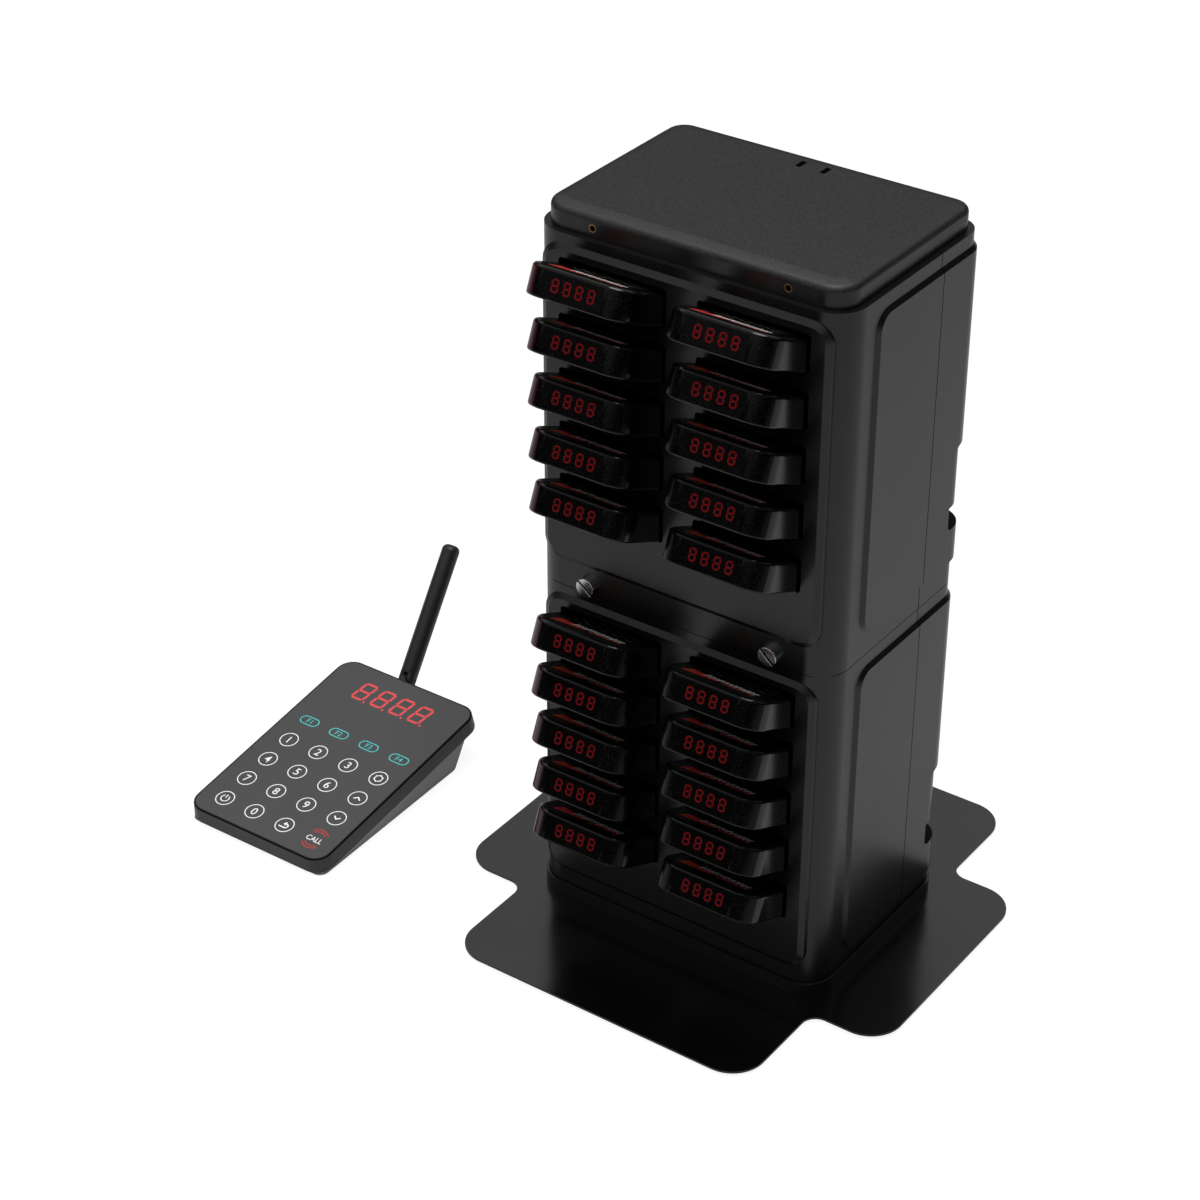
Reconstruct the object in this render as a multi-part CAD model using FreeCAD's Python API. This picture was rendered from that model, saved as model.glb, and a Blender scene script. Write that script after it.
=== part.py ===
import FreeCAD
import Part
import math
import os

# Guest pager system: two stacked charging towers on a steel base plate, twenty
# pagers in tilted pockets, and a keypad transmitter with a folding antenna.
# Lengths are millimetres. +Z is up, the pagers face -Y, and the origin is under
# the middle of the base plate, on the surface that it stands on.

# Base: a steel plate with a rubber sheet under it and a moulded collar on top
pad_thickness = 1.6
pad_inset = 4.0
plate_thickness = 1.2
plate_width = 260.0
plate_depth = 265.2
plate_front_tab_width = 178.4
plate_side_tab_depth = 140.0
plate_corner_radius = 18.5
plate_notch_radius = 8.0
collar_floor = 1.2
collar_height = 7.3
collar_stub_height = 10.0
collar_fit_gap = 0.3
base_screw_margin = 8.0

# Module body, seen from above
body_width = 171.0
body_front_y = -61.9
body_depth = 120.7
body_height = 189.4
front_corner_radius = 16.2
rear_corner_radius = 13.2
body_wall = 2.8
parting_depth = 81.5
parting_gap = 0.15

# Spigot and lid, which the next module's skirt fits round
skirt_gap = 0.4
spigot_height = 10.7
spigot_parting_lead = 2.2
cover_rise = 6.7
lid_crown = 1.3
lid_border = 8.0
lid_wall = 2.0
link_hole_height = 4.7
link_spacing = 105.0

# Raised panels
panel_proud = 1.7
panel_bevel = 3.0
panel_bottom = 15.0
panel_top_margin = 4.9
panel_corner_radius = 11.0
front_panel_margin = 7.0
panel_root = 12.0
side_panel_bevel = 2.4
side_panel_bottom = 12.0
side_panel_top_margin = 6.8
side_panel_setback = 24.4

# Pagers and their pockets
column_pitch = 76.5
column_count = 2
row_count = 5
bottom_row_height = 53.4
top_row_drop = 22.4
pager_tilt = 24.5
pager_width = 57.6
pager_thickness = 15.0
pager_length = 76.5
pager_reach = 34.5
pager_front_radius = 12.0
pager_rear_cut = 3.0
pager_top_edge = 1.8
window_width = 33.0
window_height = 11.0
window_thickness = 1.2
window_gap = 0.05
pocket_width = 60.0
pocket_floor_gap = 0.3
pocket_head_gap = 2.5
pocket_end_gap = 0.3
pocket_corner_cut = 1.2
pocket_wall = 1.6

# Charging boards and their contact pins
board_thickness = 1.6
board_side_gap = 6.7
board_clearance = 3.0
board_margin = 9.0
board_post_width = 5.0
stake_width = 2.4
stake_gap = 0.1
stake_rise = 1.0
contact_width = 3.0
contact_thickness = 1.2
contact_spacing = 12.0
contact_slot_gap = 1.0
contact_end_gap = 0.3

# Back of a module: a shallow channel above a cable trench with the power socket
channel_top = 79.0
channel_corner_radius = 8.0
trench_bottom = 33.5
trench_top = 44.5
trench_depth = 19.5
trench_radius = 3.0
jack_width = 9.0
jack_length = 11.0
jack_gap = 0.15
jack_bore_radius = 3.2
jack_bore_depth = 9.0

# Status lights in the lid
light_width = 2.0
light_length = 6.0
light_height = 3.2
light_gap = 0.1
light_sink = 0.2
light_first_x = -5.1
light_pitch = 13.4
light_rear_margin = 15.4

# Link screws and the brass inserts that they go into
link_head_radius = 4.5
link_head_height = 3.5
link_slot_width = 1.2
link_slot_depth = 1.2
link_slot_angle = 40.0
link_shank_radius = 1.45
link_shank_length = 7.0
link_hole_radius = 1.7
insert_radius = 2.1
insert_bore_radius = 1.5
insert_length = 6.0
insert_boss_wall = 2.0

# Countersunk screws from under the plate
screw_head_radius = 3.0
screw_head_height = 1.6
screw_radius = 1.45
screw_length = 8.0
screw_gap = 0.06
screw_lift = 0.1

# Tongue by which the rear cover hooks in under the lid
tongue_width = 120.0
tongue_wall = 2.0
tongue_rise = 2.8
tongue_drop = 5.0
tongue_gap = 0.3

# Keypad transmitter
keypad_x = -228.3
keypad_front_y = -124.9
keypad_tilt = 8.3
keypad_width = 94.0
keypad_length = 141.0
keypad_thickness = 9.5
keypad_corner_radius = 10.0
keypad_lift = 1.3
keypad_wall = 2.2
keypad_edge = 0.6
keypad_flare = 0.8
touch_panel_thickness = 1.5
touch_panel_rim = 1.0
touch_panel_gap = 0.15
wedge_side_inset = 0.3
wedge_front_setback = 0.4
wedge_rear_setback = 6.5
wedge_side_draft = 3.1
wedge_rear_draft = 6.5
wedge_front_draft = 0.2
wedge_corner_radius = 9.6
wedge_toe_radius = 5.0
foot_width = 66.0
foot_depth = 10.0
foot_corner_cut = 2.0
foot_thickness = 0.5
foot_margin = 12.0
circuit_thickness = 1.6
circuit_margin = 4.0
circuit_gap = 0.3
circuit_corner_cut = 6.0
display_width = 50.3
display_depth = 19.0
display_clearance = 0.3
display_setback = 26.0

# Antenna: a swivelling coupling and a folding whip
antenna_offset = -9.5
antenna_pivot_reach = 6.6
antenna_pivot_drop = 5.1
antenna_lean = 33.6
coupling_radius = 3.6
coupling_seat_gap = 0.2
knuckle_radius = 3.6
knuckle_gap = 0.3
tongue_thickness = 2.6
hinge_gap = 0.1
hinge_pin_radius = 1.0
hinge_pin_gap = 0.05
hinge_pin_inset = 0.5
whip_radius = 5.1
whip_tip_radius = 3.4
whip_length = 80.0
whip_start = 4.3

# One overrun serves every cut
overrun = 1.0

plate_top = pad_thickness + plate_thickness
module_base = [plate_top + collar_floor + level * body_height for level in (0, 1)]
body_rear_y = body_front_y + body_depth
parting_y = body_front_y + parting_depth
spigot_inset = body_wall + skirt_gap
lid_top = body_height + spigot_height + lid_crown
panel_face_y = body_front_y - panel_proud
rear_face_y = body_rear_y + panel_proud
panel_top = body_height - panel_top_margin
front_panel_width = body_width - 2 * front_panel_margin
side_panel_top = body_height - side_panel_top_margin
row_pitch = (body_height - bottom_row_height - top_row_drop) / (row_count - 1)
board_width = body_width - 2 * (body_wall + board_side_gap)
pocket_depth = pager_length - pager_reach + pocket_end_gap
tongue_radius = knuckle_radius - knuckle_gap
pocket_height = pager_thickness + pocket_floor_gap + pocket_head_gap
tilt = math.radians(pager_tilt)

X = FreeCAD.Vector(1, 0, 0)
Y = FreeCAD.Vector(0, 1, 0)
Z = FreeCAD.Vector(0, 0, 1)
ORIGIN = FreeCAD.Vector(0, 0, 0)


def vec(x, y, z=0):
    return FreeCAD.Vector(x, y, z)


def rounded_wire(corners, z=0):
    """A closed outline through (x, y, radius) corners; a radius of 0 keeps one sharp."""
    edges = []
    ends = []
    count = len(corners)
    for i in range(count):
        x, y, radius = corners[i]
        here = vec(x, y, z)
        if not radius:
            ends.append((here, here, here))
            continue
        to_last = (vec(corners[i - 1][0], corners[i - 1][1], z) - here).normalize()
        after = corners[(i + 1) % count]
        to_next = (vec(after[0], after[1], z) - here).normalize()
        half = to_last.getAngle(to_next) / 2
        reach = radius / math.tan(half)
        middle = (to_last + to_next).normalize()
        centre = here + middle * (radius / math.sin(half))
        ends.append((here + to_last * reach, centre - middle * radius, here + to_next * reach))
    for i in range(count):
        first, through, last = ends[i]
        if first != last:
            edges.append(Part.Arc(first, through, last).toShape())
        edges.append(Part.LineSegment(last, ends[(i + 1) % count][0]).toShape())
    return Part.Wire(edges)


def prism(corners, bottom, top):
    face = Part.Face(rounded_wire(corners, bottom))
    return face.extrude(Z * (top - bottom))


def rectangle(width, depth, radius, x=0, y=0):
    """Corners of a rounded rectangle centred on x, y."""
    right, back = width / 2, depth / 2
    return [(x - right, y - back, radius), (x + right, y - back, radius),
            (x + right, y + back, radius), (x - right, y + back, radius)]


def cut_rectangle(width, depth, cut, x=0, y=0):
    """Corners of a rectangle whose corners are cut off at 45 degrees."""
    right, back = width / 2, depth / 2
    near, far = right - cut, back - cut
    points = [(-near, -back), (near, -back), (right, -far), (right, far),
              (near, back), (-near, back), (-right, far), (-right, -far)]
    return [(x + px, y + py, 0) for px, py in points]


def stack(sections):
    """A straight-sided solid through outlines at their own heights."""
    wires = [rounded_wire(corners, height) for corners, height in sections]
    return Part.makeLoft(wires, True, True)


def block(x0, x1, y0, y1, z0, z1):
    return Part.makeBox(x1 - x0, y1 - y0, z1 - z0, vec(x0, y0, z0))


def rod(radius, length, start, direction):
    return Part.makeCylinder(radius, length, start, direction)


def mirrored(shape):
    return shape.mirror(ORIGIN, X)


def fused(shapes):
    return shapes[0].fuse(shapes[1:]).removeSplitter()


def placed(shape, position, axis=Z, angle=0):
    moved = shape.copy()
    moved.Placement = FreeCAD.Placement(position, FreeCAD.Rotation(axis, angle)).multiply(moved.Placement)
    return moved


def save(name, shape):
    shape.exportStep("parts/" + name + ".step")
    print(name, len(shape.Solids), "solids", round(shape.Volume), "mm3", "valid" if shape.isValid() else "BAD")


def plate_outline(inset=0):
    """The plus-shaped plate: a front-to-back bar crossed by a side-to-side bar."""
    wide, deep = plate_width / 2 - inset, plate_depth / 2 - inset
    bar, tab = plate_front_tab_width / 2 - inset, plate_side_tab_depth / 2 - inset
    outer, inner = plate_corner_radius - inset, plate_notch_radius + inset
    quarter = [(bar, -deep, outer), (bar, -tab, inner), (wide, -tab, outer)]
    right = quarter + [(x, -y, r) for x, y, r in reversed(quarter)]
    return right + [(-x, y, r) for x, y, r in reversed(right)]


def body_outline(inset=0):
    """The module from above, drawn in by the inset."""
    half = body_width / 2 - inset
    front, rear = body_front_y + inset, body_rear_y - inset
    front_radius, rear_radius = front_corner_radius - inset, rear_corner_radius - inset
    return [(-half, front, front_radius), (half, front, front_radius),
            (half, rear, rear_radius), (-half, rear, rear_radius)]


def base_screw_places():
    x = body_width / 2 - spigot_inset - base_screw_margin
    y = body_depth / 2 - spigot_inset - front_corner_radius
    middle = body_front_y + body_depth / 2
    return [(sx * x, middle + sy * y) for sx in (-1, 1) for sy in (-1, 1)]


def base_screw(extra=0):
    """A countersunk screw along +Z from the top of its head; extra makes its hole."""
    head = Part.makeCone(screw_head_radius + extra, screw_radius + extra, screw_head_height)
    shank = rod(screw_radius + extra, screw_length + extra, ORIGIN, Z)
    return head.fuse(shank)


def make_base_pad():
    """The sheet that covers the screw heads and keeps the plate from slipping."""
    return prism(plate_outline(pad_inset), 0, pad_thickness)


def make_base_plate():
    plate = prism(plate_outline(), pad_thickness, plate_top)
    for x, y in base_screw_places():
        plate = plate.cut(placed(base_screw(screw_gap), vec(x, y, pad_thickness + screw_lift)))
        plate = plate.cut(rod(screw_head_radius + screw_gap, screw_lift + overrun,
                              vec(x, y, pad_thickness - overrun), Z))
    return plate


def make_base_collar():
    """A shallow tray: its rim stands round the skirt, its middle fills the skirt."""
    floor_top = plate_top + collar_floor
    rim = prism(body_outline(-panel_proud), plate_top, plate_top + collar_height)
    slot = prism(body_outline(-collar_fit_gap), floor_top, plate_top + collar_height + overrun)
    stub = prism(body_outline(spigot_inset), floor_top - overrun, plate_top + collar_stub_height)
    collar = rim.cut(slot).fuse(stub)
    for x, y in base_screw_places():
        collar = collar.cut(placed(base_screw(screw_gap), vec(x, y, pad_thickness + screw_lift)))
    return collar.removeSplitter()


def front_panel():
    """The bevelled panel that the pockets open through."""
    middle = (panel_bottom + panel_top) / 2
    height = panel_top - panel_bottom
    outer = rectangle(front_panel_width, height, panel_corner_radius)
    inner = rectangle(front_panel_width - 2 * panel_bevel, height - 2 * panel_bevel,
                      panel_corner_radius - panel_bevel)
    panel = stack([(outer, -panel_root), (outer, 0), (inner, panel_proud)])
    upright = placed(panel, ORIGIN, X, 90)
    return placed(upright, vec(0, body_front_y, middle))


def side_panel():
    """The bevelled front end of the panel on the +X side, which runs on round the back."""
    height = side_panel_top - side_panel_bottom
    length = body_depth - side_panel_setback - rear_corner_radius
    inner_radius = panel_corner_radius - side_panel_bevel

    def outline(inset, radius):
        top = height / 2 - inset
        return [(inset, -top, radius), (length, -top, 0), (length, top, 0), (inset, top, radius)]

    panel = stack([(outline(0, panel_corner_radius), -panel_root), (outline(0, panel_corner_radius), 0),
                   (outline(side_panel_bevel, inner_radius), panel_proud)])
    upright = placed(panel, ORIGIN, X, 90)
    facing = placed(upright, ORIGIN, Z, 90)
    return placed(facing, vec(body_width / 2, body_front_y + side_panel_setback, side_panel_bottom + height / 2))


def rear_panel():
    """The same panel behind the sides, round both rear corners and across the back."""
    face, edge = body_outline(-panel_proud), body_outline()
    band = stack([(edge, side_panel_bottom), (face, side_panel_bottom + side_panel_bevel),
                  (face, side_panel_top - side_panel_bevel), (edge, side_panel_top)])
    reach = body_width
    start = body_rear_y - rear_corner_radius
    return band.common(block(-reach, reach, start, start + reach, 0, body_height))


def lid_block():
    """The spigot with its lid, whose border slopes up gently to the flat middle."""
    edge = body_height + spigot_height
    return stack([(body_outline(spigot_inset), body_height - body_wall), (body_outline(spigot_inset), edge),
                  (body_outline(spigot_inset + lid_border), lid_top)])


def pocket_frame(shape, x, height):
    """Puts a shape drawn along a pager's axis (+Z outwards, +Y up) into the module."""
    leaning = placed(shape, ORIGIN, X, 90 - pager_tilt)
    return placed(leaning, vec(x, panel_face_y, height))


def pocket_section(wall):
    """The pocket's cross-section, whose floor lies under the pager."""
    middle = (pocket_head_gap - pocket_floor_gap) / 2
    return cut_rectangle(pocket_width + 2 * wall, pocket_height + 2 * wall, pocket_corner_cut, 0, middle)


def pocket_places():
    """The pockets as (x, height), column by column from the top."""
    places = []
    for column in range(column_count):
        x = (column - (column_count - 1) / 2) * column_pitch
        for row in range(row_count):
            places.append((x, bottom_row_height + (row_count - 1 - row) * row_pitch))
    return places


def board_heights():
    """The charging board's lower and upper edges in the module."""
    lowest = bottom_row_height - pocket_depth * math.sin(tilt) - board_margin
    return lowest, bottom_row_height + (row_count - 1) * row_pitch


def board_post_places():
    side = board_width / 2 - board_post_width / 2
    low, high = board_heights()
    return [(x, z) for x in (-side, side) for z in (low + board_post_width, high - board_post_width)]


def square_rod(width, depth, x, height, start, end):
    """A bar of rectangular section along Y."""
    return block(x - width / 2, x + width / 2, start, end, height - depth / 2, height + depth / 2)


def contact_places():
    return [side * contact_spacing / 2 for side in (-1, 1)]


def module_outer():
    body = prism(body_outline(), 0, body_height)
    side = side_panel()
    return fused([body, lid_block(), front_panel(), side, mirrored(side), rear_panel()])


def module_cavity():
    low = prism(body_outline(body_wall), -overrun, body_height - body_wall)
    high = prism(body_outline(spigot_inset + lid_wall), body_height - body_wall - overrun, lid_top - lid_wall)
    return low.fuse(high)


def rear_zone(gap):
    """What the rear cover takes of the shell: behind the parting, below the lid."""
    reach = body_width
    top = body_height + cover_rise - gap
    back = block(-reach, reach, parting_y + gap, body_rear_y + reach, -overrun, top)
    lead = block(-reach, reach, parting_y - spigot_parting_lead + gap, body_rear_y, body_height + gap, top)
    return back.fuse(lead)


def light_places():
    y = body_rear_y - light_rear_margin
    return [(light_first_x + i * light_pitch, y) for i in (0, 1)]


def light_blocks(extra, bottom, top):
    """The status lights, or with an extra the slots that they shine through."""
    width, length = light_width / 2 + extra, light_length / 2 + extra
    return [block(x - width, x + width, y - length, y + length, bottom, top) for x, y in light_places()]


def link_places():
    return [side * link_spacing / 2 for side in (-1, 1)]


def tongue():
    """The rear cover's tongue, which stands behind the lid's rear wall."""
    half = tongue_width / 2
    joint = body_height + cover_rise
    inner = body_rear_y - spigot_inset - lid_wall - tongue_gap
    return block(-half, half, inner - tongue_wall, inner, joint - tongue_drop, joint + tongue_rise)


def make_front_housing(shell):
    """The pocketed front with its sides and the whole lid."""
    housing = shell.cut(rear_zone(0))
    room = module_cavity()
    board_front = board_plane()
    spigot_face = body_front_y + spigot_inset
    boss_length = insert_length + insert_boss_wall / 2
    boss_width = 2 * (insert_radius + insert_boss_wall)
    added = []
    for x, height in pocket_places():
        sleeve = prism(pocket_section(pocket_wall), -pocket_depth - pocket_wall, panel_proud)
        added.append(pocket_frame(sleeve, x, height).common(room))
    for x, height in board_post_places():
        post = square_rod(board_post_width, board_post_width, x, height, body_front_y, board_front)
        stake = square_rod(stake_width, stake_width, x, height, body_front_y,
                           board_front + board_thickness + stake_rise)
        added += [post.common(room), stake.common(room)]
    for x in link_places():
        added.append(square_rod(boss_width, boss_width, x, body_height + link_hole_height,
                                spigot_face, spigot_face + boss_length))
    cuts = []
    slot_width = contact_spacing + contact_width + 2 * contact_slot_gap
    slot_height = contact_thickness + 2 * contact_slot_gap
    slot = prism(rectangle(slot_width, slot_height, 0), -pocket_depth - pocket_wall - overrun, -pocket_depth + overrun)
    pocket = prism(pocket_section(0), -pocket_depth, pager_reach)
    for x, height in pocket_places():
        cuts += [pocket_frame(pocket, x, height), pocket_frame(slot, x, height)]
    for x in link_places():
        cuts.append(rod(link_hole_radius, body_wall + 2 * overrun, vec(x, body_front_y - overrun, link_hole_height), Y))
        cuts.append(rod(insert_radius, insert_length, vec(x, spigot_face, body_height + link_hole_height), Y))
    cuts += light_blocks(light_gap, body_height, lid_top + overrun)
    return housing.fuse(added).cut(cuts).removeSplitter()


def make_rear_cover(shell):
    """The back, with its cable trench, the channel above it and the tongue at the top."""
    cover = shell.common(rear_zone(parting_gap))
    floor_y = rear_face_y - trench_depth
    inner_y = floor_y - body_wall
    reach = body_width
    backing = block(-reach, reach, inner_y, body_rear_y, trench_bottom - body_wall, trench_top + body_wall)
    bridge = placed(tongue(), Y * tongue_gap)
    cover = cover.fuse([backing.common(module_cavity()), tongue(), bridge.common(rear_zone(parting_gap))])
    middle = (trench_bottom + trench_top) / 2
    hole = jack_width + 2 * jack_gap
    jack_hole = square_rod(hole, hole, 0, middle, inner_y - overrun, floor_y + overrun)
    return cover.cut([trench(), channel(), jack_hole]).removeSplitter()


def side_to_side(section, height):
    """A solid across the whole width from an outline of (y, z) round the rear face."""
    reach = body_width
    along = placed(prism(section, -reach, reach), ORIGIN, Y, 90)
    turned = placed(along, ORIGIN, X, 90)
    return placed(turned, vec(0, rear_face_y, height))


def trench():
    """The groove that the power lead lies in, open to both sides."""
    section = rectangle(2 * trench_depth, trench_top - trench_bottom, trench_radius)
    return side_to_side(section, (trench_bottom + trench_top) / 2)


def channel():
    """Above the trench the panel is left out, down to the shell."""
    top, low, radius = channel_top - trench_top, -trench_radius, channel_corner_radius
    section = [(-trench_depth, low, 0), (trench_depth, low, 0), (trench_depth, top, radius), (-trench_depth, top, radius)]
    return side_to_side(section, trench_top).cut(prism(body_outline(), 0, body_height))


def make_power_jack(base):
    """A barrel socket that looks out of the trench floor."""
    face_y = rear_face_y - trench_depth
    middle = base + (trench_bottom + trench_top) / 2
    body = square_rod(jack_width, jack_width, 0, middle, face_y - jack_length, face_y)
    return body.cut(rod(jack_bore_radius, jack_bore_depth + overrun, vec(0, face_y - jack_bore_depth, middle), Y))


def board_plane():
    """The y at which a charging board starts, just behind the sleeves."""
    end = pocket_depth + pocket_wall
    head = pager_thickness / 2 + pocket_head_gap + pocket_wall
    return panel_face_y + end * math.cos(tilt) + head * math.sin(tilt) + board_clearance


def make_charging_board(base):
    """A circuit board with two spring contacts for each pocket."""
    front = board_plane()
    back = front + board_thickness
    lowest, highest = board_heights()
    half = board_width / 2
    board = block(-half, half, front, back, lowest, highest)
    hole = stake_width + 2 * stake_gap
    holes = [square_rod(hole, hole, x, z, front - overrun, back + overrun) for x, z in board_post_places()]
    end = pocket_depth - pocket_end_gap + contact_end_gap
    run = (front + board_thickness / 2 - panel_face_y) / math.cos(tilt) - end
    pieces = [board.cut(holes)]
    for x, height in pocket_places():
        for offset in contact_places():
            blade = prism(rectangle(contact_width, contact_thickness, 0, offset), -end - run, -end)
            pieces.append(pocket_frame(blade, x, height))
    return placed(fused(pieces), vec(0, 0, base))


def make_link_screws(base):
    """Coin-slotted screws through the upper skirt."""
    screws = []
    for i, x in enumerate(link_places()):
        head = rod(link_head_radius, link_head_height, ORIGIN, Z)
        slot = block(-link_head_radius - overrun, link_head_radius + overrun, -link_slot_width / 2, link_slot_width / 2,
                     link_head_height - link_slot_depth, link_head_height + overrun)
        shank = rod(link_shank_radius, link_shank_length, vec(0, 0, -link_shank_length), Z)
        screw = head.fuse(shank).cut(placed(slot, ORIGIN, Z, link_slot_angle)).removeSplitter()
        screws.append(placed(screw, vec(x, body_front_y, base + link_hole_height), X, 90))
    return Part.makeCompound(screws)


def make_inserts():
    tubes = []
    for base in module_base:
        for x in link_places():
            start = vec(x, body_front_y + spigot_inset, base + body_height + link_hole_height)
            tube = rod(insert_radius, insert_length, start, Y)
            tubes.append(tube.cut(rod(insert_bore_radius, insert_length + 2 * overrun, start - Y * overrun, Y)))
    return Part.makeCompound(tubes)


def make_status_lights():
    lights = []
    for base in module_base:
        top = lid_top - light_sink
        lights += [placed(light, vec(0, 0, base)) for light in light_blocks(0, top - light_height, top)]
    return Part.makeCompound(lights)


def make_base_screws():
    return Part.makeCompound([placed(base_screw(), vec(x, y, pad_thickness + screw_lift))
                              for x, y in base_screw_places()])


def pager_outline(inset=0):
    """A pager from above, its rear end at y = 0: round front corners, cut rear ones."""
    half = pager_width / 2 - inset
    near, far, front = inset, pager_length - inset, pager_front_radius - inset
    cut = pager_rear_cut
    return [(-half, near + cut, 0), (-half + cut, near, 0), (half - cut, near, 0), (half, near + cut, 0),
            (half, far, front), (-half, far, front)]


def pager_solids():
    """A pager's case and its window, lying flat with the rear end at y = 0."""
    top = pager_thickness
    body = stack([(pager_outline(), 0), (pager_outline(), top - pager_top_edge), (pager_outline(pager_top_edge), top)])
    half = window_width / 2
    low = (pager_thickness - window_height) / 2
    seat = block(-half, half, pager_length - window_thickness, pager_length + overrun, low, low + window_height)
    pane = block(-half + window_gap, half - window_gap, pager_length - window_thickness, pager_length,
                 low + window_gap, low + window_height - window_gap)

    return body.cut(seat), pane


def make_pagers():
    """Twenty pagers, numbered column by column, the upper module first."""
    case, pane = pager_solids()
    seat = pager_length - pager_reach
    pagers = []
    for base in reversed(module_base):
        for x, height in pocket_places():
            pair = []
            for shape in (case, pane):
                centred = placed(shape, vec(0, -seat, -pager_thickness / 2))
                leaning = placed(centred, ORIGIN, Z, 180)
                tipped = placed(leaning, ORIGIN, X, -pager_tilt)
                pair.append(placed(tipped, vec(x, panel_face_y, base + height)))
            pagers.append(pair)
    return pagers


def keypad_frame(shape):
    """Puts a shape drawn flat, front edge at y = 0, on the transmitter's slope."""
    tipped = placed(shape, ORIGIN, X, keypad_tilt)
    return placed(tipped, vec(keypad_x, keypad_front_y, keypad_lift))


def keypad_outline(inset=0):
    return rectangle(keypad_width - 2 * inset, keypad_length - 2 * inset, keypad_corner_radius - inset,
                     0, keypad_length / 2)


def make_keypad_upper():
    """The slab: a flared tray with a ledge for the touch panel and an opening to the wedge."""
    top = keypad_thickness
    ledge = top - touch_panel_thickness
    foot, widest = keypad_outline(keypad_edge - keypad_flare), keypad_outline(-keypad_flare)
    slab = stack([(foot, 0), (widest, keypad_edge), (keypad_outline(), top)])
    hollow = prism(keypad_outline(keypad_wall), keypad_wall, top + overrun)
    seat = prism(keypad_outline(touch_panel_rim), ledge, top + overrun)
    opening = prism(wedge_outline(keypad_wall + circuit_margin), -overrun, keypad_wall + overrun)
    return keypad_frame(slab.cut([hollow, seat, opening]))


def make_touch_panel():
    top = keypad_thickness
    inset = touch_panel_rim + touch_panel_gap
    return keypad_frame(prism(keypad_outline(inset), top - touch_panel_thickness, top))


def wedge_outline(inset):
    """The lower case where it meets the slab, drawn in by the inset."""
    half = keypad_width / 2 - wedge_side_inset - inset
    front, rear = wedge_front_setback + inset, keypad_length - wedge_rear_setback - inset
    radius = wedge_corner_radius - inset
    return [(-half, front, radius), (half, front, radius), (half, rear, radius), (-half, rear, radius)]


def wedge_foot_outline(inset):
    """The lower case's flat underside: drawn in little at the shallow toe and more at the deep heel."""
    toe = keypad_width / 2 - wedge_side_inset - wedge_front_draft - inset
    heel = keypad_width / 2 - wedge_side_inset - wedge_side_draft - inset
    run = math.cos(math.radians(keypad_tilt))
    front = (wedge_front_setback + wedge_front_draft) * run + inset
    rear = (keypad_length - wedge_rear_setback) * run - wedge_rear_draft - inset
    toe_radius, heel_radius = wedge_toe_radius - inset, wedge_corner_radius - inset
    return [(-toe, front, toe_radius), (toe, front, toe_radius), (heel, rear, heel_radius), (-heel, rear, heel_radius)]


def wedge_solid(inset, bottom, top):
    upper = keypad_frame(rounded_wire(wedge_outline(inset), top))
    lower = placed(rounded_wire(wedge_foot_outline(inset)), vec(keypad_x, keypad_front_y, bottom))
    return Part.makeLoft([lower, upper], True, True)


def make_keypad_lower():
    """The hollow wedge under the slab."""
    outer = wedge_solid(0, foot_thickness, 0)
    inner = wedge_solid(keypad_wall, foot_thickness + keypad_wall, keypad_wall)
    return outer.cut(inner)


def make_keypad_feet():
    """Two rubber strips across the underside."""
    outline = wedge_foot_outline(foot_margin)
    rows = [keypad_front_y + outline[0][1], keypad_front_y + outline[2][1]]
    strips = [prism(cut_rectangle(foot_width, foot_depth, foot_corner_cut, keypad_x, y), 0, foot_thickness) for y in rows]
    return Part.makeCompound(strips)


def make_keypad_board():
    """The circuit board with the four-digit display standing on it."""
    inset = keypad_wall + circuit_gap
    outline = cut_rectangle(keypad_width - 2 * inset, keypad_length - 2 * inset, circuit_corner_cut,
                            0, keypad_length / 2)
    board = prism(outline, keypad_wall, keypad_wall + circuit_thickness)
    top = keypad_thickness - touch_panel_thickness - display_clearance
    middle = keypad_length - display_setback
    display = block(-display_width / 2, display_width / 2, middle - display_depth / 2, middle + display_depth / 2,
                    keypad_wall, top)
    return keypad_frame(board.fuse(display).removeSplitter())


def antenna_pivot():
    """The fold's pivot in the flat transmitter frame."""
    return vec(antenna_offset, keypad_length + antenna_pivot_reach, keypad_thickness - antenna_pivot_drop)


def make_antenna_base():
    """The coupling behind the slab, with the fold's tongue and pin."""
    pivot = antenna_pivot()
    wall = vec(pivot.x, keypad_length + keypad_flare + coupling_seat_gap, pivot.z)
    length = pivot.y - knuckle_radius - knuckle_gap - wall.y
    coupling = rod(coupling_radius, length, wall, Y)
    side = pivot.x - tongue_thickness / 2
    tongue = rod(tongue_radius, tongue_thickness, vec(side, pivot.y, pivot.z), X)
    web = block(side, side + tongue_thickness, wall.y + length / 2, pivot.y,
                pivot.z - tongue_radius, pivot.z + tongue_radius)
    reach = whip_radius - hinge_pin_inset
    pin = rod(hinge_pin_radius, 2 * reach, vec(pivot.x - reach, pivot.y, pivot.z), X)
    return keypad_frame(fused([coupling, tongue, web, pin]))


def make_whip_foot():
    """The whip's lower end: the whip's own round, flattened and rounded about the pivot, and slotted."""
    around = rod(whip_radius, knuckle_radius + whip_start, vec(0, 0, -knuckle_radius), Z)
    knuckle = rod(knuckle_radius, 2 * whip_radius, vec(-whip_radius, 0, 0), X)
    neck = block(-whip_radius, whip_radius, -knuckle_radius, knuckle_radius, 0, whip_start)
    slot_half = tongue_thickness / 2 + hinge_gap
    slot = block(-slot_half, slot_half, -whip_radius, whip_radius, -knuckle_radius - overrun, tongue_radius + knuckle_gap)
    hole = rod(hinge_pin_radius + hinge_pin_gap, 2 * whip_radius + 2 * overrun, vec(-whip_radius - overrun, 0, 0), X)
    return around.common(fused([knuckle, neck])).cut([slot, hole])


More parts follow.
